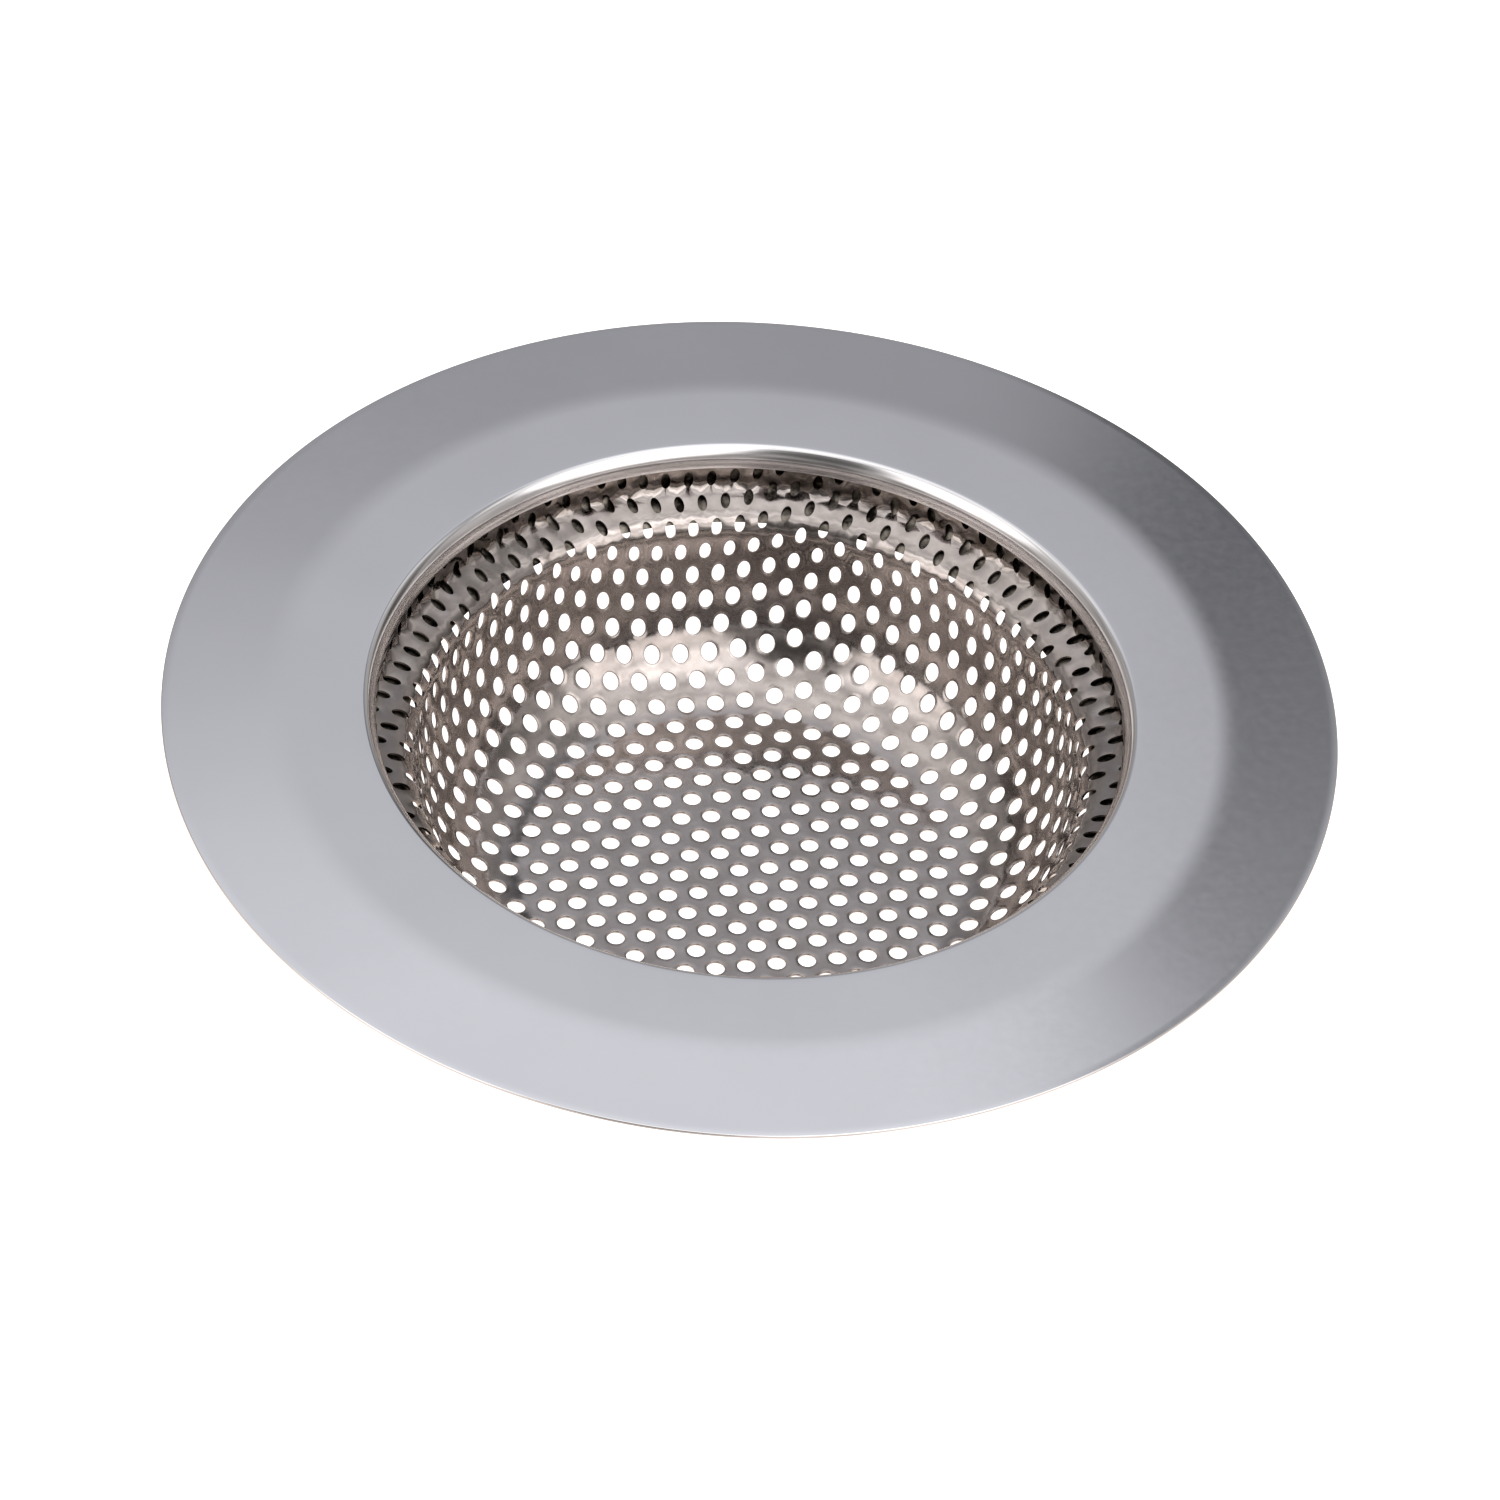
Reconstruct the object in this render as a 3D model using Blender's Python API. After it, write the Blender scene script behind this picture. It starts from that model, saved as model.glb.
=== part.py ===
"""Basket strainer for a sink drain, pressed from three pieces of stainless sheet.

A wide rim is rolled over into the mouth of a drawn perforated basket, and a plain backing ring
lies outside the basket's neck and shoulder. All three are turned about +Z. The origin is the
centre of the basket's underside, which is the lowest face, and +X runs along a row of holes.
"""
import math
import bpy
import bmesh
from mathutils import Vector

MM = 0.001

# general
SEGMENTS = 64                 # sides of every turned piece, so nested pieces stay parallel
GAP = 0.3 * MM                # clearance kept between neighbouring sheets

# basket, measured on its inner (upper) surface
BASKET_SHEET = 0.3 * MM
FLOOR_RADIUS = 21.1 * MM
CORNER_RADIUS = 9.9 * MM      # floor to side
CORNER_ANGLE = 62.0           # degrees of slope where the corner meets the side
SIDE_RADIUS = 22.6 * MM       # the side is a flatter arc above the corner
SIDE_ANGLE = 88.0
SHOULDER_RADIUS = 2.5 * MM    # rounded edge between side and shoulder
SHOULDER_SLOPE = 18.0
CREASE_RADIUS = 36.8 * MM     # corner between shoulder and neck
NECK_RISE = 2.41 * MM         # conical part of the neck above the crease
BASKET_FLANGE_RADIUS = 40.2 * MM

# floor perforation: a hexagonal lattice with one hole on the axis and its rows along X
HOLE_PITCH = 3.03 * MM
HOLE_DIAMETER = 1.8 * MM
HOLE_SIDES = 6
FLOOR_MARGIN = 0.3 * MM       # solid metal left between the outermost holes and the corner

# rim, measured on its upper surface
RIM_SHEET = 0.4 * MM
RIM_RADIUS = 57.0 * MM
EDGE_ROUNDING = 0.12 * MM
RIM_HEIGHT = 22.92 * MM       # top corner of the rim's edge above the basket's inner floor
RIDGE_RADIUS = 46.3 * MM      # soft bend between the inner and the outer zone
RIDGE_RISE = 0.42 * MM        # ridge above the rim's edge
RIDGE_HALF_WIDTH = 1.4 * MM
INNER_SLOPE = 0.5             # the inner zone is almost level, falling towards the mouth
ROLL_RADIUS = 1.2 * MM
LIP_RADIUS = 36.5 * MM        # inner face of the turned-down lip
LIP_DEPTH = 1.18 * MM         # straight part of the lip below the roll
SEAT_INNER_RADIUS = 55.4 * MM
SEAT_RUN_IN = 1.2 * MM        # underside slopes down over this width to the flat seat

# backing ring
RING_SHEET = 0.4 * MM
RING_BEND_RADIUS = 0.4 * MM   # underside of the bend between neck and flange
RING_FLANGE_RADIUS = 40.8 * MM
RING_END_SLOPE = 49.0         # the ring stops where the shoulder reaches this slope

FLOOR_TOP = BASKET_SHEET
EDGE_TOP = FLOOR_TOP + RIM_HEIGHT


def clear_scene():
    for thing in list(bpy.data.objects):
        bpy.data.objects.remove(thing, do_unlink=True)


def make_material(name, colour, roughness):
    material = bpy.data.materials.new(name)
    material.use_nodes = True
    shader = material.node_tree.nodes["Principled BSDF"]
    shader.inputs["Base Color"].default_value = (*colour, 1.0)
    shader.inputs["Metallic"].default_value = 1.0
    shader.inputs["Roughness"].default_value = roughness
    return material


def arc(centre, radius, start, end, steps):
    """Points of an arc between two slopes, in degrees. The centre lies to the left of the run,
    or to its right where the radius is negative."""
    points = []
    for i in range(steps + 1):
        a = math.radians(start + (end - start) * i / steps)
        points.append(centre + radius * Vector((math.sin(a), -math.cos(a))))
    return points


def offset(points, distance):
    """The same open profile moved to the right of its run, mitred at the corners."""
    moved = []
    last = len(points) - 1
    for i, point in enumerate(points):
        before = (points[i] - points[max(i - 1, 0)]).normalized()
        after = (points[min(i + 1, last)] - points[i]).normalized()
        if i == 0:
            before = after
        if i == last:
            after = before
        run = (before + after).normalized()
        right = Vector((run.y, -run.x))
        stretch = 1.0 / max(0.3, run.dot(before))
        moved.append(point + right * distance * stretch)
    return moved


def slope_vector(degrees):
    return Vector((math.cos(math.radians(degrees)), math.sin(math.radians(degrees))))


def left_of(vector):
    return Vector((-vector.y, vector.x))


def inner_zone_height(radius):
    """Height of the rim's upper surface between the roll and the ridge."""
    ridge_top = EDGE_TOP + RIDGE_RISE
    return ridge_top - (RIDGE_RADIUS - radius) * math.tan(math.radians(INNER_SLOPE))


def roll_centre():
    """Centre of the rim's roll: its upper surface is tangent to the inner zone and to the lip."""
    r = LIP_RADIUS + ROLL_RADIUS
    z = inner_zone_height(r) - ROLL_RADIUS / math.cos(math.radians(INNER_SLOPE))
    return Vector((r, z))


def bowl_profile():
    """Floor edge, corner and side of the basket's inner surface, going up."""
    corner_centre = Vector((FLOOR_RADIUS, FLOOR_TOP + CORNER_RADIUS))
    corner = arc(corner_centre, CORNER_RADIUS, 0.0, CORNER_ANGLE, 6)
    side_centre = corner[-1] + SIDE_RADIUS * left_of(slope_vector(CORNER_ANGLE))
    side = arc(side_centre, SIDE_RADIUS, CORNER_ANGLE, SIDE_ANGLE, 4)
    return corner + side[1:]


def shoulder_profile(end_slope, steps):
    """The rounded edge above the side, from the side's slope to the given one."""
    top = bowl_profile()[-1]
    centre = top - SHOULDER_RADIUS * left_of(slope_vector(SIDE_ANGLE))
    return arc(centre, -SHOULDER_RADIUS, SIDE_ANGLE, end_slope, steps)


def crease_point():
    top = shoulder_profile(SHOULDER_SLOPE, 4)[-1]
    rise = (CREASE_RADIUS - top.x) * math.tan(math.radians(SHOULDER_SLOPE))
    return Vector((CREASE_RADIUS, top.y + rise))


def neck_radius():
    """Inner face of the basket's upright neck, clear of the rim's lip."""
    return LIP_RADIUS + RIM_SHEET + GAP


def flange_end(depth, radius):
    """Outer end of a flange that lies under the rim's inner zone at the given normal depth."""
    drop = depth / math.cos(math.radians(INNER_SLOPE))
    return Vector((radius, inner_zone_height(radius) - drop))


def basket_inner_surface():
    crease = crease_point()
    neck_foot = Vector((neck_radius(), crease.y + NECK_RISE))
    centre = roll_centre()
    bend = arc(centre, neck_radius() - centre.x, 90.0, INNER_SLOPE, 4)
    points = bowl_profile() + shoulder_profile(SHOULDER_SLOPE, 5)[1:]
    points += [crease, neck_foot] + bend
    points += [flange_end(RIM_SHEET + GAP, BASKET_FLANGE_RADIUS)]
    return points


def ring_surfaces():
    """Inner and outer face of the backing ring, from its foot on the shoulder to its flange."""
    guide = shoulder_profile(RING_END_SLOPE, 3)[-1:] + shoulder_profile(SHOULDER_SLOPE, 5)[-2:]
    crease = crease_point()
    neck_foot = Vector((neck_radius(), crease.y + NECK_RISE))
    neck_head = Vector((neck_radius(), roll_centre().y))
    guide += [crease, neck_foot, neck_head]
    inner = offset(guide, BASKET_SHEET + GAP)[:-1]
    outer = offset(guide, BASKET_SHEET + GAP + RING_SHEET)[:-1]
    depth = RIM_SHEET + GAP + BASKET_SHEET + GAP
    top_radius = RING_BEND_RADIUS + RING_SHEET
    centre_r = neck_radius() + BASKET_SHEET + GAP + top_radius
    reach = (depth + top_radius) / math.cos(math.radians(INNER_SLOPE))
    centre = Vector((centre_r, inner_zone_height(centre_r) - reach))
    inner += arc(centre, -top_radius, 90.0, INNER_SLOPE, 4)
    outer += arc(centre, -RING_BEND_RADIUS, 90.0, INNER_SLOPE, 4)
    inner += [flange_end(depth, RING_FLANGE_RADIUS)]
    outer += [flange_end(depth + RING_SHEET, RING_FLANGE_RADIUS)]
    return inner, outer


def ridge_points(depth):
    """A soft bend between the inner and outer zones, at a normal depth under the surface."""
    ridge_top = EDGE_TOP + RIDGE_RISE
    outer_slope = math.atan2(RIDGE_RISE, RIM_RADIUS - RIDGE_RADIUS)
    left = Vector((RIDGE_RADIUS, ridge_top)) - RIDGE_HALF_WIDTH * slope_vector(INNER_SLOPE)
    right = Vector((RIDGE_RADIUS, ridge_top))
    right += RIDGE_HALF_WIDTH * Vector((math.cos(outer_slope), -math.sin(outer_slope)))
    peak = Vector((RIDGE_RADIUS, ridge_top))
    middle = (left + 2.0 * peak + right) / 4.0
    down = Vector((0.0, -depth))
    return [left + down, middle + down, right + down]


def rim_outline():
    """Closed section of the rim, from the outer edge inwards on top and back underneath."""
    edge_bottom = EDGE_TOP - RIM_SHEET
    centre = roll_centre()
    lip_end = centre.y - LIP_DEPTH
    top = [Vector((RIM_RADIUS, edge_bottom + EDGE_ROUNDING))]
    top += [Vector((RIM_RADIUS, EDGE_TOP - EDGE_ROUNDING))]
    top += [Vector((RIM_RADIUS - EDGE_ROUNDING, EDGE_TOP))]
    top += ridge_points(0.0)[::-1]
    top += arc(centre, -ROLL_RADIUS, INNER_SLOPE, 90.0, 6)
    top += [Vector((LIP_RADIUS, lip_end))]
    under = [Vector((LIP_RADIUS + RIM_SHEET, lip_end))]
    under += arc(centre, -(ROLL_RADIUS - RIM_SHEET), 90.0, INNER_SLOPE, 5)
    under += ridge_points(RIM_SHEET)
    run_in = SEAT_INNER_RADIUS - SEAT_RUN_IN
    rise = (RIM_RADIUS - run_in) * RIDGE_RISE / (RIM_RADIUS - RIDGE_RADIUS)
    under += [Vector((run_in, edge_bottom + rise))]
    under += [Vector((SEAT_INNER_RADIUS, edge_bottom))]
    under += [Vector((RIM_RADIUS - EDGE_ROUNDING, edge_bottom))]
    return top + under


def ring_of(mesh, point):
    return [
        mesh.verts.new((
            point.x * math.cos(math.tau * i / SEGMENTS),
            point.x * math.sin(math.tau * i / SEGMENTS),
            point.y,
        ))
        for i in range(SEGMENTS)
    ]


def bridge(mesh, lower, upper):
    for i in range(SEGMENTS):
        j = (i + 1) % SEGMENTS
        mesh.faces.new((lower[i], lower[j], upper[j], upper[i]))


def finish_object(mesh, name, material, sharp_degrees):
    bmesh.ops.recalc_face_normals(mesh, faces=mesh.faces)
    data = bpy.data.meshes.new(name)
    mesh.to_mesh(data)
    mesh.free()
    data.materials.append(material)
    data.shade_smooth()
    data.set_sharp_from_angle(angle=math.radians(sharp_degrees))
    thing = bpy.data.objects.new(name, data)
    bpy.context.scene.collection.objects.link(thing)
    return thing


def turn_closed(name, outline, material):
    """A ring turned from a closed section that stays off the axis."""
    mesh = bmesh.new()
    rings = [ring_of(mesh, point) for point in outline]
    for lower, upper in zip(rings, rings[1:] + rings[:1]):
        bridge(mesh, lower, upper)
    return finish_object(mesh, name, material, 35.0)


def turn_bowl(name, inner, outer, material):
    """A bowl turned from its inner and outer surface, each closed by one flat floor face."""
    mesh = bmesh.new()
    outline = inner + outer[::-1]
    rings = [ring_of(mesh, point) for point in outline]
    for lower, upper in zip(rings, rings[1:]):
        bridge(mesh, lower, upper)
    mesh.faces.new(rings[0])
    mesh.faces.new(rings[-1])
    return finish_object(mesh, name, material, 35.0)


def floor_hole_centres():
    """Lattice points whose whole hole lies on the flat floor."""
    reach = FLOOR_RADIUS - HOLE_DIAMETER / 2.0 - FLOOR_MARGIN
    along = HOLE_PITCH * slope_vector(0.0)
    across = HOLE_PITCH * slope_vector(60.0)
    centres = []
    for i in range(-14, 15):
        for j in range(-14, 15):
            centre = i * along + j * across
            if centre.length <= reach:
                centres.append(centre)
    return centres


def floor_hole_cutter():
    """One hexagonal prism for each floor hole, longer than the sheet is thick."""
    mesh = bmesh.new()
    low = -0.5 * MM
    high = BASKET_SHEET + 0.5 * MM
    for centre in floor_hole_centres():
        ends = []
        for z in (low, high):
            ends.append([
                mesh.verts.new((
                    centre.x + 0.5 * HOLE_DIAMETER * math.cos(math.tau * k / HOLE_SIDES),
                    centre.y + 0.5 * HOLE_DIAMETER * math.sin(math.tau * k / HOLE_SIDES),
                    z,
                ))
                for k in range(HOLE_SIDES)
            ])
        bottom, top = ends
        mesh.faces.new(bottom[::-1])
        mesh.faces.new(top)
        for k in range(HOLE_SIDES):
            n = (k + 1) % HOLE_SIDES
            mesh.faces.new((bottom[k], bottom[n], top[n], top[k]))
    data = bpy.data.meshes.new("floor_hole_cutter")
    mesh.to_mesh(data)
    mesh.free()
    cutter = bpy.data.objects.new("floor_hole_cutter", data)
    cutter.hide_render = True
    cutter.display_type = "WIRE"
    bpy.context.scene.collection.objects.link(cutter)
    return cutter


def build_rim():
    steel = make_material("rim_steel", (0.66, 0.66, 0.69), 0.32)
    return turn_closed("rim", rim_outline(), steel)


def build_basket():
    steel = make_material("basket_steel", (0.58, 0.56, 0.54), 0.2)
    inner = basket_inner_surface()
    outer = offset(inner, BASKET_SHEET)
    outer[0] = Vector((FLOOR_RADIUS, 0.0))
    basket = turn_bowl("perforated_basket", inner, outer, steel)
    cut = basket.modifiers.new("floor holes", "BOOLEAN")
    cut.operation = "DIFFERENCE"
    cut.solver = "EXACT"
    cut.object = floor_hole_cutter()
    return basket


def build_backing_ring():
    steel = make_material("ring_steel", (0.6, 0.6, 0.62), 0.3)
    inner, outer = ring_surfaces()
    return turn_closed("backing_ring", inner + outer[::-1], steel)


def main():
    clear_scene()
    assembly = bpy.data.objects.new("basket_strainer", None)
    bpy.context.scene.collection.objects.link(assembly)
    for piece in (build_rim(), build_basket(), build_backing_ring()):
        piece.parent = assembly


main()
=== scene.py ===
"""Looks of the basket strainer: a wide satin rim with a bright perforated basket pressed into it.

Lengths are in millimetres, and are turned into metres where a mesh or the camera is made.
Angles are in degrees.
"""
import math

import bpy
import bmesh
import numpy as np
from mathutils import Matrix, Vector


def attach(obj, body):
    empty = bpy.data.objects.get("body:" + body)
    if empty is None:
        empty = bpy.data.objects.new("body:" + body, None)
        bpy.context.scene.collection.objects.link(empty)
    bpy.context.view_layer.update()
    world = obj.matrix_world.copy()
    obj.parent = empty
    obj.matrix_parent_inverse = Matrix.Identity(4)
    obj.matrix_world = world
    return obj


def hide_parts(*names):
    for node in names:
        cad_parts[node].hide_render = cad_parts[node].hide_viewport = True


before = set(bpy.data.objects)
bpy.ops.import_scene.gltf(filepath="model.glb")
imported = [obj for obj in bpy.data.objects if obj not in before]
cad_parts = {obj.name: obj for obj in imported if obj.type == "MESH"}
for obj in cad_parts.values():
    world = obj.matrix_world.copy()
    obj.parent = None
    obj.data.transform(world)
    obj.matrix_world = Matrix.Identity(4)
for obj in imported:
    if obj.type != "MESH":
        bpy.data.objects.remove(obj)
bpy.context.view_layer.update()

MM = 0.001

# basket, on its inner surface
BASKET_SHEET = 0.3
FLOOR_RADIUS = 21.1
CORNER_RADIUS = 9.9
CORNER_ANGLE = 62.0
SIDE_RADIUS = 22.6
SIDE_ANGLE = 88.0
SHOULDER_RADIUS = 2.5
SHOULDER_SLOPE = 18.0
CREASE_RADIUS = 36.75
CREASE_FILLET = 0.35
NECK_RISE = 2.41              # conical part of the neck above the crease
NECK_FILLET = 1.0
BASKET_FLANGE_RADIUS = 40.2

# perforation: a hexagonal lattice with rows along X and one hole on the axis
PITCH = 3.03
HOLE_DIAMETER = 1.8
LOOP = 18                     # points round each hole
CURVED = (33.0, 42.5)         # between these radii of the flat sheet it is tightly bent
HIDDEN_FROM = 38.5            # past this one it lies between rim and ring
HOLE_SINK = 0.04              # a hole's edge lies this far under the sheet's surface
HOLE_ROUNDING = ((0.16, 0.0), (0.05, 0.012))  # loops round it: how much wider, and how far sunk

# how drawing changes the sheet and its holes, by radius in the flat sheet
STRETCH = 1.063               # how much longer the drawn wall is
STRETCH_START = 21.0
STRETCH_RAMP = 6.0
HOLE_AT = (0.0, 21.0, 24.0, 28.0, 31.5, 34.5, 37.5, 41.0, 45.0)
HOLE_LENGTH = (HOLE_DIAMETER, HOLE_DIAMETER, 1.86, 1.93, 1.95, 2.02, 2.04, 1.94, 1.90)
HOLE_WIDTH = (HOLE_DIAMETER, HOLE_DIAMETER, 1.74, 1.70, 1.58, 1.45, 1.26, 1.07, 0.98)
LEAN = 8.0                    # holes lean this way and that between the lattice's six axes
LEAN_START = 30.0
LEAN_RAMP = 4.0

# rim, on its upper surface
RIM_SHEET = 0.4
RIM_RADIUS = 57.0
EDGE_TOP = 23.22
EDGE_ROUNDING = 0.13
RIDGE_RADIUS = 46.3
RIDGE_RISE = 0.42
RIDGE_HALF_WIDTH = 1.4
INNER_SLOPE = 0.5
ROLL_RADIUS = 0.75            # the inner zone rolls over tightly
ROLL_END = 45.0               # to this slope, then more gently
LIP_ROUNDING = 2.6
LIP_SLOPE = 80.0              # to this one, which runs straight to the lip's end
LIP_RADIUS = 36.36            # where the straight part starts
LIP_DEPTH = 0.62
LIP_EDGE = ((0.09, 0.0), (0.03, 0.02), (0.0, 0.09))  # its rounded end: back up the lip, and across
SEAT_INNER_RADIUS = 55.4
SEAT_RUN_IN = 1.2
SHEET_GAP = 0.05              # between rim and basket

# backing ring
RING_SHEET = 0.4
RING_GAP = 0.27               # between basket and ring
RING_END_SLOPE = 49.0         # it starts where the basket's shoulder has this slope

# fineness of the meshes
AROUND = 360                  # sides of the turned pieces
GUIDE_STEP = 0.02             # along the basket's profile
RING_STEP = 0.22              # along the ring's section
TURNED_SHARP = 35.0           # edges that turn more than this are shaded as sharp
BASKET_SHARP = 42.0


# ---------------------------------------------------------------- camera

CAMERA_DISTANCE = 631.45
CAMERA_ELEVATION = 43.503
CAMERA_ROLL = 4.148
CAMERA_TURN = -12.51          # the camera stands this far round from -Y
CAMERA_AIM = (-0.000205, -0.007175)
CAMERA_CENTRE = 0.1           # the distance is from the axis, this far under the rim's edge
CAMERA_LENS = 156.41


def make_camera():
    elevation = math.radians(CAMERA_ELEVATION)
    forward = Vector((0.0, math.cos(elevation), -math.sin(elevation)))
    right = Vector((1.0, 0.0, 0.0))
    up = right.cross(forward)
    place = -forward * CAMERA_DISTANCE * MM
    roll_matrix = Matrix.Rotation(math.radians(-CAMERA_ROLL), 3, forward)
    right, up = roll_matrix @ right, roll_matrix @ up
    aim = (forward + CAMERA_AIM[0] * right + CAMERA_AIM[1] * up).normalized()
    right = aim.cross(up).normalized()
    up = right.cross(aim)
    turn = Matrix.Rotation(math.radians(CAMERA_TURN), 3, "Z")
    axes = turn @ Matrix((right, up, -aim)).transposed()
    data = bpy.data.cameras.new("camera")
    data.sensor_width = 36.0
    data.lens = CAMERA_LENS
    data.clip_start = 0.05
    data.clip_end = 20.0
    camera = bpy.data.objects.new("camera", data)
    camera.matrix_world = axes.to_4x4()
    camera.location = turn @ place + Vector((0.0, 0.0, (EDGE_TOP - CAMERA_CENTRE) * MM))
    bpy.context.scene.collection.objects.link(camera)
    bpy.context.scene.camera = camera


# ---------------------------------------------------------------- profiles

def slope_vector(degrees):
    return Vector((math.cos(math.radians(degrees)), math.sin(math.radians(degrees))))


def arc(centre, radius, start, end, steps):
    """Points of an arc between two slopes, its centre to the left of the run, or to the right
    where the radius is negative."""
    points = []
    for i in range(steps + 1):
        a = math.radians(start + (end - start) * i / steps)
        points.append(centre + radius * Vector((math.sin(a), -math.cos(a))))
    return points


def fillet(before, corner, after, radius, steps):
    """A rounded corner between two straight runs, as points."""
    a = (corner - before).normalized()
    b = (after - corner).normalized()
    turn = math.acos(max(-1.0, min(1.0, a.dot(b))))
    reach = radius * math.tan(turn / 2.0)
    side = 1.0 if a.x * b.y - a.y * b.x > 0 else -1.0
    start = math.degrees(math.atan2(a.y, a.x))
    centre = corner - a * reach + side * radius * Vector((-a.y, a.x))
    return arc(centre, side * radius, start, start + side * math.degrees(turn), steps)


def inner_zone_height(radius):
    peak = EDGE_TOP + RIDGE_RISE
    return peak - (RIDGE_RADIUS - radius) * math.tan(math.radians(INNER_SLOPE))


def roll_centres():
    """Centres of the tight roll and of the lip's rounding, which are tangent to each other."""
    apart = LIP_ROUNDING - ROLL_RADIUS
    end = math.radians(ROLL_END)
    run = apart * math.sin(end)
    r = LIP_RADIUS + LIP_ROUNDING * math.sin(math.radians(LIP_SLOPE)) - run
    start_radius = r - ROLL_RADIUS * math.sin(math.radians(INNER_SLOPE))
    z = inner_zone_height(start_radius) - ROLL_RADIUS * math.cos(math.radians(INNER_SLOPE))
    tight = Vector((r, z))
    return tight, tight + apart * Vector((math.sin(end), -math.cos(end)))


def roll(depth, steps):
    """From the inner zone over the roll to the lip's straight part, this deep in the sheet."""
    tight, wide = roll_centres()
    points = arc(tight, -(ROLL_RADIUS - depth), INNER_SLOPE, ROLL_END, steps)
    return points + arc(wide, -(LIP_ROUNDING - depth), ROLL_END, LIP_SLOPE, steps)[1:]


def basket_profile():
    """The basket's inner surface from the floor's centre to the end of its flange."""
    points = [Vector((0.0, BASKET_SHEET)), Vector((FLOOR_RADIUS, BASKET_SHEET))]
    centre = Vector((FLOOR_RADIUS, BASKET_SHEET + CORNER_RADIUS))
    points += arc(centre, CORNER_RADIUS, 0.0, CORNER_ANGLE, steps=60)[1:]
    centre = points[-1] + SIDE_RADIUS * slope_vector(CORNER_ANGLE + 90.0)
    points += arc(centre, SIDE_RADIUS, CORNER_ANGLE, SIDE_ANGLE, steps=60)[1:]
    centre = points[-1] - SHOULDER_RADIUS * slope_vector(SIDE_ANGLE + 90.0)
    points += arc(centre, -SHOULDER_RADIUS, SIDE_ANGLE, SHOULDER_SLOPE, steps=40)[1:]
    rise = (CREASE_RADIUS - points[-1].x) * math.tan(math.radians(SHOULDER_SLOPE))
    crease = Vector((CREASE_RADIUS, points[-1].y + rise))
    bend = roll(RIM_SHEET + SHEET_GAP, steps=20)
    neck_foot = Vector((bend[-1].x, crease.y + NECK_RISE))
    points += fillet(points[-1], crease, neck_foot, CREASE_FILLET, steps=12)
    points += fillet(crease, neck_foot, bend[-1], NECK_FILLET, steps=4)
    points += bend[::-1]
    drop = (RIM_SHEET + SHEET_GAP) / math.cos(math.radians(INNER_SLOPE))
    flange_end = inner_zone_height(BASKET_FLANGE_RADIUS) - drop
    points.append(Vector((BASKET_FLANGE_RADIUS, flange_end)))
    return points


def resample(points, step):
    """The same run at even spacing: arrays of length, radius, height and slope in radians."""
    raw = np.array([tuple(p) for p in points])
    gaps = np.hypot(*np.diff(raw, axis=0).T)
    raw = raw[np.r_[True, gaps > 1e-9]]
    run = np.r_[0.0, np.cumsum(np.hypot(*np.diff(raw, axis=0).T))]
    s = np.linspace(0.0, run[-1], int(run[-1] / step) + 1)
    r = np.interp(s, run, raw[:, 0])
    z = np.interp(s, run, raw[:, 1])
    slope = np.unwrap(np.arctan2(np.gradient(z, s), np.gradient(r, s)))
    return s, r, z, slope


def parallel(points, distance):
    """The same open run moved to its right."""
    s, r, z, slope = resample(points, RING_STEP)
    return [Vector(p) for p in zip(r + distance * np.sin(slope), z - distance * np.cos(slope))]


def ridge_bend():
    """Radius of the soft bend at the ridge."""
    outer_slope = math.degrees(math.atan2(RIDGE_RISE, RIM_RADIUS - RIDGE_RADIUS))
    return 2.0 * RIDGE_HALF_WIDTH / math.radians(INNER_SLOPE + outer_slope)


def rim_top():
    """The rim's upper side from its outer edge to the lip's end. The straight parts have points
    of their own, which keep the faces short."""
    edge = Vector((RIM_RADIUS, EDGE_TOP))
    edge_foot = edge - Vector((0.0, RIM_SHEET))
    peak = Vector((RIDGE_RADIUS, EDGE_TOP + RIDGE_RISE))
    over_lip = roll(0.0, steps=24)
    inner_end = over_lip[0]
    top = fillet(edge_foot, edge, peak, EDGE_ROUNDING, steps=5)
    top += [edge + (peak - edge) * k / 12 for k in range(1, 10)]
    top += fillet(edge, peak, inner_end, ridge_bend(), steps=16)
    # evenly towards the mouth, the last one half a step before the roll
    start = top[-1]
    top += [start + (inner_end - start) * k / 7.5 for k in range(1, 8)]
    return top + over_lip


def rim_underside():
    """The rim's lower side from the lip back to its outer edge, with the flat seat."""
    down = Vector((0.0, -RIM_SHEET))
    bottom = EDGE_TOP - RIM_SHEET
    edge = Vector((RIM_RADIUS, EDGE_TOP))
    peak = Vector((RIDGE_RADIUS, EDGE_TOP + RIDGE_RISE))
    under = roll(RIM_SHEET, steps=12)[::-1]
    inner_end = roll(0.0, steps=24)[0]
    under += [p + down for p in fillet(inner_end, peak, edge, ridge_bend(), steps=12)]
    run_in = SEAT_INNER_RADIUS - SEAT_RUN_IN
    rise = (RIM_RADIUS - run_in) * RIDGE_RISE / (RIM_RADIUS - RIDGE_RADIUS)
    under += [Vector((run_in, bottom + rise)), Vector((SEAT_INNER_RADIUS, bottom))]
    under += [Vector((RIM_RADIUS - EDGE_ROUNDING, bottom))]
    under += [Vector((RIM_RADIUS, bottom + EDGE_ROUNDING))]
    return under


def rim_section():
    top = rim_top()
    up_lip, across = slope_vector(LIP_SLOPE), slope_vector(LIP_SLOPE - 90.0)
    lip_end = top[-1] - LIP_DEPTH * up_lip
    top += [lip_end + back * up_lip + over * across for back, over in LIP_EDGE]
    return top + [lip_end + RIM_SHEET * across] + rim_underside()


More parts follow.
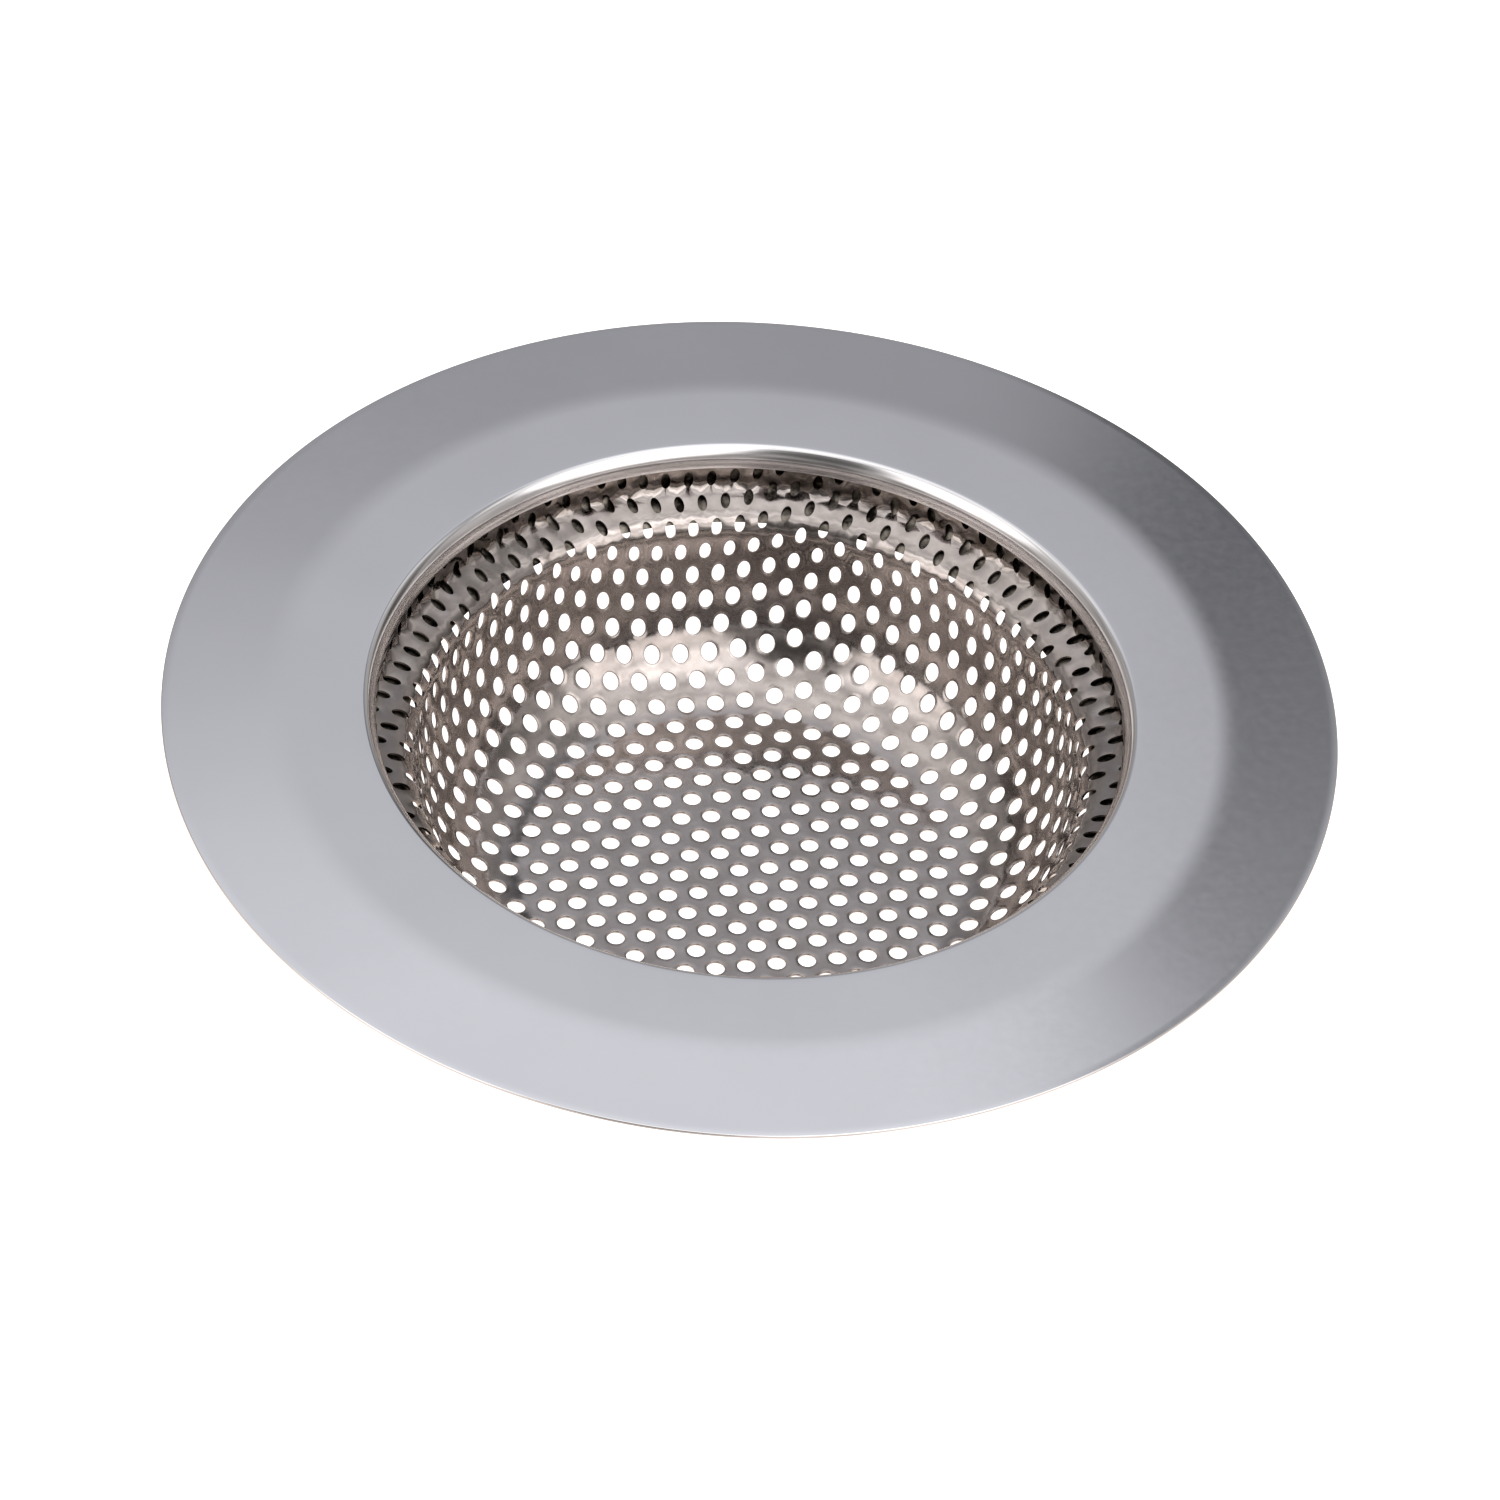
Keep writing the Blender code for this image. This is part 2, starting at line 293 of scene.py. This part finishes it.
def ring_section():
    """The ring follows the basket's outside from the shoulder's bend to the flange's end."""
    s, r, z, slope = resample(basket_profile(), GUIDE_STEP)
    side_end = FLOOR_RADIUS + CORNER_RADIUS * math.radians(CORNER_ANGLE)
    side_end += SIDE_RADIUS * math.radians(SIDE_ANGLE - CORNER_ANGLE)
    start = np.argmax((s > side_end) & (np.degrees(slope) < RING_END_SLOPE))
    part = [Vector(p) for p in zip(r[start:], z[start:])]
    inner = parallel(part, BASKET_SHEET + RING_GAP)
    outer = parallel(part, BASKET_SHEET + RING_GAP + RING_SHEET)
    return inner + outer[::-1]


# ---------------------------------------------------------------- meshes

def make_object(name, verts, faces, sharp_degrees):
    data = bpy.data.meshes.new(name)
    data.from_pydata([tuple(v) for v in verts], [], faces)
    data.validate()
    data.shade_smooth()
    data.set_sharp_from_angle(angle=math.radians(sharp_degrees))
    thing = bpy.data.objects.new(name, data)
    bpy.context.scene.collection.objects.link(thing)
    return thing


def turn_section(name, outline):
    """A ring turned from a closed section that stays off the axis."""
    angles = np.arange(AROUND) * math.tau / AROUND
    verts = []
    for p in outline:
        verts += [(p.x * MM * math.cos(a), p.x * MM * math.sin(a), p.y * MM) for a in angles]
    faces = []
    for k in range(len(outline)):
        n = (k + 1) % len(outline)
        for i in range(AROUND):
            j = (i + 1) % AROUND
            faces.append((k * AROUND + i, k * AROUND + j, n * AROUND + j, n * AROUND + i))
    thing = make_object(name, verts, faces, TURNED_SHARP)
    mesh = bmesh.new()
    mesh.from_mesh(thing.data)
    bmesh.ops.recalc_face_normals(mesh, faces=mesh.faces)
    mesh.to_mesh(thing.data)
    mesh.free()
    return thing


# ---------------------------------------------------------------- perforated basket
# rho and phi are polar coordinates in the flat sheet; s is length along the drawn profile

def ramp(rho, start, length):
    """0 up to the start, 1 from start + length on."""
    return min(1.0, max(0.0, (rho - start) / length))


def drawn_length(rho):
    """Length along the drawn profile of a point that was rho from the flat sheet's centre."""
    part = np.clip(rho - STRETCH_START, 0.0, STRETCH_RAMP)
    beyond = np.clip(rho - (STRETCH_START + STRETCH_RAMP), 0.0, None)
    return rho + (STRETCH - 1.0) * (part * part / (2.0 * STRETCH_RAMP) + beyond)


def lattice(limit):
    """Centres of all cells that reach inside the limit."""
    centres = []
    for j in range(-20, 21):
        for i in range(-30, 31):
            x = PITCH * (i + 0.5 * j)
            y = PITCH * math.sqrt(0.75) * j
            if math.hypot(x, y) < limit + PITCH:
                centres.append((x, y))
    return np.array(centres)


def cell_boundary():
    """Offsets round one hexagonal cell, LOOP points, corners included."""
    corners = [
        Vector((math.cos(a), math.sin(a))) * PITCH / math.sqrt(3.0)
        for a in (math.radians(30.0 + 60.0 * k) for k in range(6))
    ]
    per_side = LOOP // 6
    points = []
    for k in range(6):
        a, b = corners[k], corners[(k + 1) % 6]
        points += [a + (b - a) * i / per_side for i in range(per_side)]
    return np.array([tuple(p) for p in points])


def hole_loop(centre, guide, grow):
    """A hole's edge in the flat sheet, so that it has the drawn hole's length and width."""
    x, y = centre
    rho, phi = math.hypot(x, y), math.atan2(y, x)
    length = float(np.interp(rho, HOLE_AT, HOLE_LENGTH)) + grow
    width = float(np.interp(rho, HOLE_AT, HOLE_WIDTH)) + grow
    drawn_radius = float(np.interp(float(drawn_length(rho)), guide[0], guide[1]))
    hoop = rho / drawn_radius if rho > 1.0 else 1.0
    pull = 1.0 + (STRETCH - 1.0) * ramp(rho, STRETCH_START, STRETCH_RAMP)
    lean = math.radians(-LEAN * ramp(rho, LEAN_START, LEAN_RAMP) * math.sin(6.0 * phi))
    # the angle round the hole is measured from its own radial direction
    angles = math.radians(30.0) + np.arange(LOOP) * math.tau / LOOP - phi
    a = np.cos(angles) * 0.5 * length
    b = np.sin(angles) * 0.5 * width
    outward = (a * math.cos(lean) - b * math.sin(lean)) / pull
    sideways = (a * math.sin(lean) + b * math.cos(lean)) * hoop
    radial = np.array((math.cos(phi), math.sin(phi)))
    tangent = np.array((-radial[1], radial[0]))
    return np.outer(outward, radial) + np.outer(sideways, tangent) + np.array(centre)


def bands(loops):
    """Quads between each loop and the next."""
    faces = []
    for a, b in zip(loops, loops[1:]):
        for k in range(LOOP):
            n = (k + 1) % LOOP
            faces.append((a[k], a[n], b[n], b[k]))
    return faces


class FlatSheet:
    """The perforated sheet before drawing: points, how far each is sunk into the sheet, and the
    faces of its inside and its outside. Only the inside's holes have a rounded edge."""

    def __init__(self, guide, limit):
        self.guide = guide
        self.limit = limit
        self.points, self.sunk = [], []
        self.inside_faces, self.outside_faces = [], []
        self.index = {}
        border = cell_boundary()
        for centre in lattice(limit):
            self.add_cell(centre, centre + border)

    def shared(self, p):
        """Index of a border point, which neighbouring cells share; none lies past the limit."""
        rho = math.hypot(p[0], p[1])
        if rho > self.limit:
            p = (p[0] * self.limit / rho, p[1] * self.limit / rho)
        # the odd offsets keep all points away from the places where rounding changes over
        key = (round(p[0] * 2000.0 + 0.137), round(p[1] * 2000.0 + 0.291))
        if key not in self.index:
            self.index[key] = len(self.points)
            self.points.append((p[0], p[1]))
            self.sunk.append(0.0)
        return self.index[key]

    def own(self, loop, depth):
        """Indices of a loop of points that belong to one cell only."""
        first = len(self.points)
        self.points.extend(map(tuple, loop))
        self.sunk.extend([depth] * len(loop))
        return list(range(first, first + len(loop)))

    def add_cell(self, centre, ring):
        inside = np.hypot(ring[:, 0], ring[:, 1]) < self.limit - 1e-6
        if not inside.any():
            return
        edge = [self.shared(p) for p in ring]
        if inside.all():
            self.add_hole(centre, ring, edge)
        else:
            self.add_rest(inside, edge)

    def add_rest(self, inside, edge):
        """What the limit leaves of a cell is one face without a hole."""
        near = inside | np.roll(inside, 1) | np.roll(inside, -1)
        face = tuple(v for v, kept in zip(edge, near) if kept)
        if len(set(face)) == len(face) and len(face) > 2:
            self.inside_faces.append(face)
            self.outside_faces.append(face)

    def add_hole(self, centre, ring, edge):
        rho = math.hypot(centre[0], centre[1])
        inside_loops, outside_loops = [edge], [edge]
        if rho < CURVED[1]:
            widest = hole_loop(centre, self.guide, HOLE_ROUNDING[0][0])
            halfway = 0.5 * (ring + widest)
            inside_loops.append(self.own(halfway, 0.0))
        if CURVED[0] < rho < CURVED[1]:
            outside_loops.append(inside_loops[1])
        if rho < HIDDEN_FROM:
            for grow, depth in HOLE_ROUNDING:
                inside_loops.append(self.own(hole_loop(centre, self.guide, grow), depth))
        hole = self.own(hole_loop(centre, self.guide, 0.0), HOLE_SINK)
        self.inside_faces += bands(inside_loops + [hole])
        self.outside_faces += bands(outside_loops + [hole])


def edge_walls(faces, count):
    """Quads between the free edges of the inside, round the holes and the sheet, and the same
    edges of the outside, whose points are numbered count higher."""
    edges = {}
    for face in faces:
        for a, b in zip(face, face[1:] + face[:1]):
            edges[(a, b)] = True
    return [(b, a, a + count, b + count) for a, b in edges if (b, a) not in edges]


def build_basket():
    guide = resample(basket_profile(), GUIDE_STEP)
    s_all, r_all, z_all, slope_all = guide
    # the flat sheet reaches as far as the profile is long
    rho_all = np.linspace(0.0, 60.0, 6001)
    limit = float(np.interp(s_all[-1], drawn_length(rho_all), rho_all))
    sheet = FlatSheet(guide, limit)
    flat, sunk = np.array(sheet.points), np.array(sheet.sunk)
    phi = np.arctan2(flat[:, 1], flat[:, 0])
    s = drawn_length(np.hypot(flat[:, 0], flat[:, 1]))
    r, z, slope = (np.interp(s, s_all, values) for values in (r_all, z_all, slope_all))
    sides = []
    for depth in (sunk, BASKET_SHEET - sunk):
        radius = (r + depth * np.sin(slope)) * MM
        height = (z - depth * np.cos(slope)) * MM
        sides.append(np.c_[radius * np.cos(phi), radius * np.sin(phi), height])
    verts = np.vstack(sides)
    count = len(flat)
    under = [tuple(v + count for v in face[::-1]) for face in sheet.outside_faces]
    faces = sheet.inside_faces + under + edge_walls(sheet.inside_faces, count)
    used = sorted({v for face in faces for v in face})
    order = {v: k for k, v in enumerate(used)}
    faces = [tuple(order[v] for v in face) for face in faces]
    return make_object("perforated_sheet", verts[used], faces, BASKET_SHARP)


# ---------------------------------------------------------------- node trees

class Nodes:
    """Small helper for building a node tree."""

    def __init__(self, tree):
        self.tree = tree

    def add(self, kind, inputs=None, **settings):
        node = self.tree.nodes.new(kind)
        for key, value in settings.items():
            setattr(node, key, value)
        for key, value in (inputs or {}).items():
            self.set(node, key, value)
        return node

    def set(self, node, key, value):
        if isinstance(value, bpy.types.NodeSocket):
            self.tree.links.new(value, node.inputs[key])
        else:
            node.inputs[key].default_value = value

    def noise(self, where, scale, detail=2.0, roughness=0.5):
        inputs = {"Vector": where, "Scale": scale, "Detail": detail, "Roughness": roughness}
        return self.add("ShaderNodeTexNoise", inputs).outputs["Fac"]

    def remap(self, value, low, high, to_low, to_high, kind="LINEAR"):
        inputs = {"Value": value, "From Min": low, "From Max": high,
                  "To Min": to_low, "To Max": to_high}
        node = self.add("ShaderNodeMapRange", inputs, interpolation_type=kind)
        return node.outputs["Result"]

    def math(self, operation, a, b):
        node = self.add("ShaderNodeMath", {0: a, 1: b}, operation=operation)
        return node.outputs["Value"]

    def scale(self, vector, factor):
        node = self.add("ShaderNodeVectorMath", {0: vector, "Scale": factor}, operation="SCALE")
        return node.outputs["Vector"]

    def upward(self, vector):
        return self.add("ShaderNodeSeparateXYZ", {"Vector": vector}).outputs["Z"]

    def mix(self, factor, a, b):
        node = self.add("ShaderNodeMix", {0: factor, 6: a, 7: b}, data_type="RGBA")
        return node.outputs[2]

    def bump(self, height, distance, strength, below=None):
        inputs = {"Height": height, "Distance": distance, "Strength": strength}
        if below is not None:
            inputs["Normal"] = below
        return self.add("ShaderNodeBump", inputs).outputs["Normal"]


def rgb(red, green, blue):
    return (red, green, blue, 1.0)


# ---------------------------------------------------------------- materials

def new_material(name):
    material = bpy.data.materials.new(name)
    material.use_nodes = True
    tree = material.node_tree
    return material, Nodes(tree), tree.nodes["Principled BSDF"]


def satin_steel():
    """Evenly blasted sheet: a very fine grain, with faint clouds in colour and gloss."""
    material, n, shader = new_material("rim_satin")
    where = n.add("ShaderNodeTexCoord").outputs["Object"]
    clouds = n.remap(n.noise(where, 60.0, 3.0), 0.3, 0.7, 0.0, 1.0)
    gloss = n.noise(where, 900.0, 4.0, 0.7)
    grain = n.noise(where, 4000.0, 2.0, 0.6)
    n.set(shader, "Base Color", n.mix(clouds, rgb(0.65, 0.65, 0.67), rgb(0.68, 0.68, 0.70)))
    n.set(shader, "Roughness", n.remap(gloss, 0.3, 0.7, 0.11, 0.15))
    n.set(shader, "Normal", n.bump(grain, 0.00001, 0.05))
    shader.inputs["Metallic"].default_value = 1.0
    return material


def steel_with_painted_shade():
    """Plain sheet with painted shade: its upper side, against the basket, is dark; its outside is
    clean.
    """
    material, n, shader = new_material("ring_painted_shade")
    coordinates = n.add("ShaderNodeTexCoord")
    where = coordinates.outputs["Object"]
    # painted shade: faces pointing up, between the basket and the ring, get a near-black colour
    # for the shade there
    painted_shade_side = n.remap(n.upward(coordinates.outputs["Normal"]), -0.04, 0.02, 0.0, 1.0)
    clouds = n.remap(n.noise(where, 520.0, 3.0, 0.6), 0.40, 0.62, 0.0, 1.0)
    clean = n.mix(clouds, rgb(0.46, 0.45, 0.44), rgb(0.54, 0.53, 0.52))
    painted_shade = n.mix(clouds, rgb(0.012, 0.010, 0.008), rgb(0.22, 0.20, 0.175))
    gloss = n.noise(where, 900.0, 4.0, 0.7)
    grain = n.noise(where, 2500.0, 2.0, 0.6)
    n.set(shader, "Base Color", n.mix(painted_shade_side, clean, painted_shade))
    n.set(shader, "Roughness", n.remap(gloss, 0.3, 0.7, 0.30, 0.42))
    n.set(shader, "Normal", n.bump(grain, 0.00001, 0.1))
    shader.inputs["Metallic"].default_value = 1.0
    return material


def bright_steel():
    """Perforated sheet left bright: wavy from drawing, scuffed, with lighter and darker patches
    and uneven painted shade in the groove, from the crease at the foot of the neck upwards."""
    material, n, shader = new_material("basket_bright")
    where = n.add("ShaderNodeTexCoord").outputs["Object"]
    patches = n.remap(n.noise(where, 330.0, 3.0, 0.6), 0.35, 0.65, 0.0, 1.0)
    tone = n.mix(patches, rgb(0.31, 0.28, 0.27), rgb(0.375, 0.345, 0.335))
    # painted shade: the neck's groove, from the crease upwards, is darkened in uneven spots
    neck = n.remap(n.upward(where), 0.0182, 0.0192, 0.0, 1.0)
    spots = n.remap(n.noise(where, 480.0, 2.0, 0.5), 0.38, 0.58, 0.8, 0.1)
    painted_shade = n.math("MULTIPLY", neck, spots)
    scuffs = n.noise(where, 1400.0, 4.0, 0.7)
    waves = n.noise(where, 330.0, 1.5, 0.4)
    # the dark colour mixed in here is painted shade in the neck's groove
    n.set(shader, "Base Color", n.mix(painted_shade, tone, rgb(0.13, 0.11, 0.09)))
    n.set(shader, "Roughness", n.remap(scuffs, 0.35, 0.65, 0.08, 0.17))
    n.set(shader, "Normal", n.bump(scuffs, 0.00002, 0.03, n.bump(waves, 0.0002, 0.25)))
    shader.inputs["Metallic"].default_value = 1.0
    return material


def floor_white():
    material, _, shader = new_material("floor_white")
    shader.inputs["Base Color"].default_value = rgb(0.8, 0.8, 0.8)
    shader.inputs["Roughness"].default_value = 0.9
    shader.inputs["Emission Color"].default_value = rgb(1.0, 1.0, 1.0)
    shader.inputs["Emission Strength"].default_value = 0.95
    return material


# ---------------------------------------------------------------- stage and light

FLOOR_HALF = 6.0              # metres
FLOOR_HEIGHT = -0.0005        # metres, just under the basket

# The lamps stand round the object: azimuth 0 is on its right in the main view, 90 behind it, 180
# on its left and 270 in front. Each area is an azimuth and an elevation, the radius of its core
# and the radius where its soft edge ends.
SCREEN = (46.5, 30.3, 30.5, 33.4)
SCREEN_OPENING = (50.0, 32.0, 12.0, 26.0)
BEHIND = (90.0, 43.5, 14.0, 30.0)

# areas of light, each with its strength
SOFT_BOXES = (
    (310.0, 38.0, 20.0, 32.0, 1.7),
    (213.0, 32.0, 14.0, 27.0, 1.6),
    (330.0, 55.0, 10.0, 60.0, 0.3),
    (195.0, 50.0, 10.0, 50.0, 0.3),
)

# a dark figure in front: areas, each with the share of light that is left
FIGURE = (
    (252.0, 38.0, 7.0, 22.0, 0.25),
    (258.0, 4.0, 8.0, 18.0, 0.40),
    (260.0, -28.0, 8.0, 20.0, 0.45),
)


def make_stage():
    """A plain floor that shows white but isn't reflected by the metal."""
    data = bpy.data.meshes.new("floor")
    signs = ((-1.0, -1.0), (1.0, -1.0), (1.0, 1.0), (-1.0, 1.0))
    corners = [(x * FLOOR_HALF, y * FLOOR_HALF, FLOOR_HEIGHT) for x, y in signs]
    data.from_pydata(corners, [], [(0, 1, 2, 3)])
    data.materials.append(floor_white())
    floor = bpy.data.objects.new("floor", data)
    bpy.context.scene.collection.objects.link(floor)
    floor.visible_glossy = False
    floor.visible_diffuse = False


def toward(azimuth, elevation):
    """Unit vector to a lamp or a screen."""
    a, e = math.radians(azimuth + CAMERA_TURN), math.radians(elevation)
    return (math.cos(a) * math.cos(e), math.sin(a) * math.cos(e), math.sin(e))


def area(n, way, place, inside, outside):
    """A value that is inside in an area's core and outside past its edge."""
    azimuth, elevation, core, edge = place
    node = n.add("ShaderNodeVectorMath", {0: way, 1: toward(azimuth, elevation)},
                 operation="DOT_PRODUCT")
    low, high = math.cos(math.radians(edge)), math.cos(math.radians(core))
    return n.remap(node.outputs["Value"], low, high, outside, inside, "SMOOTHSTEP")


def upper_light(n, way, height):
    """A ceiling that is brighter towards the zenith, a screen that lets a third of it through
    and has an opening in its middle, and the soft boxes."""
    ceiling = n.math("ADD", n.remap(height, 0.62, 0.757, 0.43, 0.94),
                     n.remap(height, 0.80, 1.0, 0.0, 0.45))
    screen = n.math("MULTIPLY", area(n, way, SCREEN, 0.35, 1.0),
                    area(n, way, SCREEN_OPENING, 3.2, 1.0))
    light = n.math("MULTIPLY", ceiling, screen)
    for *place, power in SOFT_BOXES:
        light = n.math("ADD", light, area(n, way, place, power, 0.0))
    warmth = n.remap(height, 0.0, 1.0, 0.0, 1.0)
    tint = n.mix(warmth, rgb(1.0, 0.93, 0.87), rgb(1.0, 0.98, 0.965))
    tint = n.mix(area(n, way, BEHIND, 1.0, 0.0), tint, rgb(0.975, 0.982, 1.03))
    return n.scale(tint, light)


def make_world():
    """A studio as light by direction: the upper light, an even warm light from below, broad
    clouds over both except behind the object, and the dark figure in front."""
    world = bpy.data.worlds.new("studio")
    bpy.context.scene.world = world
    world.use_nodes = True
    n = Nodes(world.node_tree)
    way = n.add("ShaderNodeTexCoord").outputs["Generated"]
    height = n.upward(way)
    above = n.remap(height, -0.02, 0.12, 0.0, 1.0, "SMOOTHSTEP")
    colour = n.mix(above, rgb(1.32, 1.15, 1.03), upper_light(n, way, height))
    clouds = n.remap(n.noise(way, 5.0, 2.0, 0.5), 0.35, 0.65, 0.70, 1.20)
    shade = n.mix(area(n, way, BEHIND, 1.0, 0.0), clouds, rgb(1.0, 1.0, 1.0))
    for *place, rest in FIGURE:
        shade = n.scale(shade, area(n, way, place, rest, 1.0))
    lit = n.add("ShaderNodeVectorMath", {0: colour, 1: shade}, operation="MULTIPLY")
    background = world.node_tree.nodes["Background"]
    n.set(background, "Color", lit.outputs["Vector"])
    background.inputs["Strength"].default_value = 1.0


# ---------------------------------------------------------------- the scene

def main():
    make_camera()
    rim = turn_section("rim_sheet", rim_section())
    ring = turn_section("ring_sheet", ring_section())
    basket = build_basket()
    for piece, node, material in (
        (rim, "rim", satin_steel()),
        (basket, "perforated_basket", bright_steel()),
        (ring, "backing_ring", steel_with_painted_shade()),
    ):
        piece.data.materials.append(material)
        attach(piece, "root")
        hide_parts(node)
    make_stage()
    make_world()
    bpy.context.scene.view_settings.view_transform = "Standard"


main()
